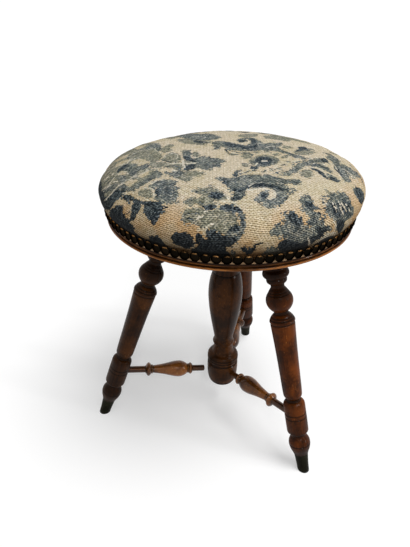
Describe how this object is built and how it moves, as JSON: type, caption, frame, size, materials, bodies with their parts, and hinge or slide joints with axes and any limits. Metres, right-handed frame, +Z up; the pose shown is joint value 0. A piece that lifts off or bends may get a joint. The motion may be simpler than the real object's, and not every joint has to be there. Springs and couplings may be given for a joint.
{
  "type": "revolving piano stool",
  "caption": "Round upholstered stool whose seat turns and rises on a central screw, over a turned stand with splayed legs and stretchers to a baluster column.",
  "frame": {"origin": "on the floor, under the middle of the stool's overall box; the axis of the column and the screw stands 20.7 mm to +X and 9.3 mm to -Y of it", "axes": "+Z up along the column's axis; +Y away from the side that the picture shows; +X to that side's right"},
  "size_m": [0.4174, 0.3946, 0.4875],
  "materials": {
    "walnut": "stained and varnished, satin gloss",
    "dark_walnut": "stained dark, satin gloss, worn",
    "golden_walnut": "stained, varnish rubbed golden",
    "rim_wood": "stained, moulding rubbed to orange brown",
    "ebonised_wood": "blackened, dull",
    "plain_wood": "unfinished",
    "iron": "blackened iron",
    "steel": "greased steel, dull",
    "nail_brass": "dark patinated brass",
    "tapestry": "woven wool tapestry with blue-grey leaf scrolls on a cream ground",
    "stuffing": "loose hair and fibre"
  },
  "bodies": {
    "stand": {"column": "walnut", "leg_platform": "dark_walnut", "leg_left": "dark_walnut", "leg_right": "walnut", "leg_back": "walnut", "foot_left": "ebonised_wood", "foot_right": "ebonised_wood", "foot_back": "ebonised_wood", "stretcher_left": "golden_walnut", "stretcher_right": "golden_walnut", "stretcher_back": "golden_walnut", "spindle_nut": "iron", "nut_screw_1": "steel", "nut_screw_2": "steel", "nut_screw_3": "steel"},
    "lift_stop": {"stop_washer": "steel"},
    "seat": {"spindle": "steel", "spindle_end_nut": "steel", "seat_flange": "iron", "flange_pin": "steel", "flange_screw_1": "steel", "flange_screw_2": "steel", "flange_screw_3": "steel", "flange_screw_4": "steel", "seat_board": "plain_wood", "seat_rim": "rim_wood", "seat_stuffing": "stuffing", "seat_cover": "tapestry", "cover_nails": "nail_brass"}
  },
  "joints": [
    {"name": "seat_lift", "type": "slide", "parent": "stand", "child": "lift_stop", "axis": [0, 0, 1], "range_m": [0, 0.078]},
    {"name": "seat_turn", "type": "hinge", "parent": "lift_stop", "child": "seat", "pos_m": [0.02071, -0.00925, 0.4], "axis": [0, 0, 1], "range_deg": [0, 4680]}
  ],
  "couplings": [
    {"joint": "seat_lift", "follows": "seat_turn", "m_per_rad": 0.00095493}
  ]
}
